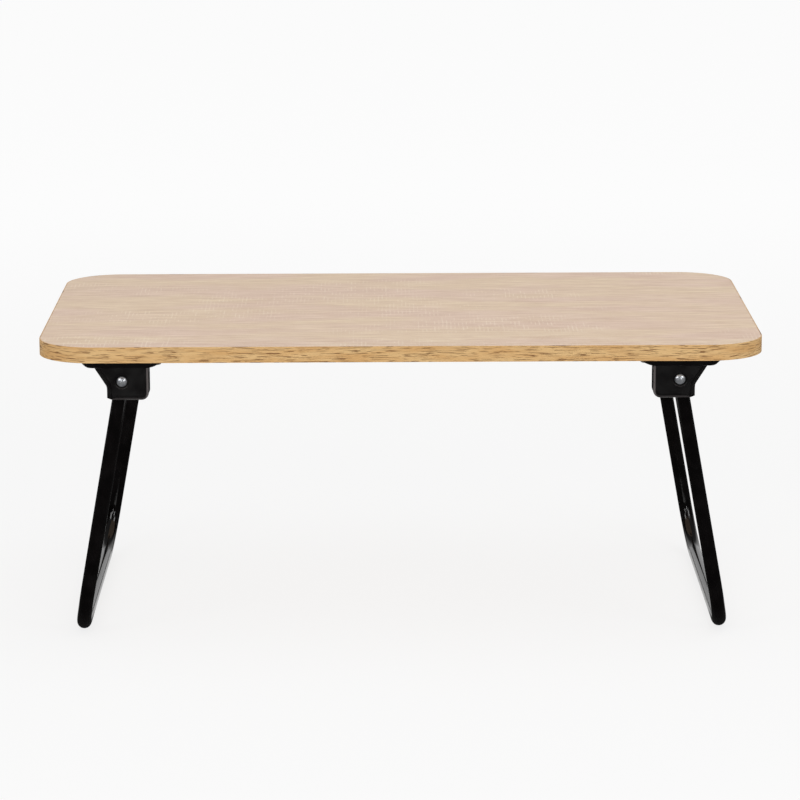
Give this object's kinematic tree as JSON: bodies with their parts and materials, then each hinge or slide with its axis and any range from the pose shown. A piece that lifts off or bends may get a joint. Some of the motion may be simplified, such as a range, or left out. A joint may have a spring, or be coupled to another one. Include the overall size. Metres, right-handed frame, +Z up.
{
  "type": "folding lap table",
  "caption": "Low lap or bed table: a flat rounded oak-look board on splayed U-bent tube legs that fold in flat under it.",
  "frame": {"origin": "on the floor, under the middle of the board, with the legs open", "axes": "+X along the board's long side to the right, -Y to the front, +Z up"},
  "size_m": [0.6, 0.35, 0.254],
  "materials": {
    "oak_laminate": "matt pale oak-look laminate, grain along the board",
    "oak_edge_band": "golden oak-look edge band with short dark pores",
    "board_core": "raw pressed wood fibre board",
    "black_plastic": "semi-gloss black moulded plastic",
    "black_tube_paint": "gloss black paint on steel tube",
    "zinc_rivet": "bright zinc plate",
    "zinc_screw": "bright zinc plate"
  },
  "bodies": {
    "table_top": {"board_core": "board_core", "top_laminate": "oak_laminate", "bottom_laminate": "oak_laminate", "edge_band": "oak_edge_band", "bracket_front_left": "black_plastic", "bracket_front_right": "black_plastic", "bracket_rear_left": "black_plastic", "bracket_rear_right": "black_plastic", "rivet_front_left": "zinc_rivet", "rivet_front_right": "zinc_rivet", "rivet_rear_left": "zinc_rivet", "rivet_rear_right": "zinc_rivet", "screw_front_left_outer": "zinc_screw", "screw_front_left_inner": "zinc_screw", "screw_front_right_outer": "zinc_screw", "screw_front_right_inner": "zinc_screw", "screw_rear_left_outer": "zinc_screw", "screw_rear_left_inner": "zinc_screw", "screw_rear_right_outer": "zinc_screw", "screw_rear_right_inner": "zinc_screw"},
    "left_leg": {"left_leg_tube": "black_tube_paint"},
    "right_leg": {"right_leg_tube": "black_tube_paint"}
  },
  "joints": [
    {"name": "left_leg_fold", "type": "hinge", "parent": "table_top", "child": "left_leg", "pos_m": [-0.23, 0, 0.2224], "axis": [0, -1, 0], "range_deg": [0, 100]},
    {"name": "right_leg_fold", "type": "hinge", "parent": "table_top", "child": "right_leg", "pos_m": [0.23, 0, 0.2224], "axis": [0, 1, 0], "range_deg": [0, 100]}
  ]
}
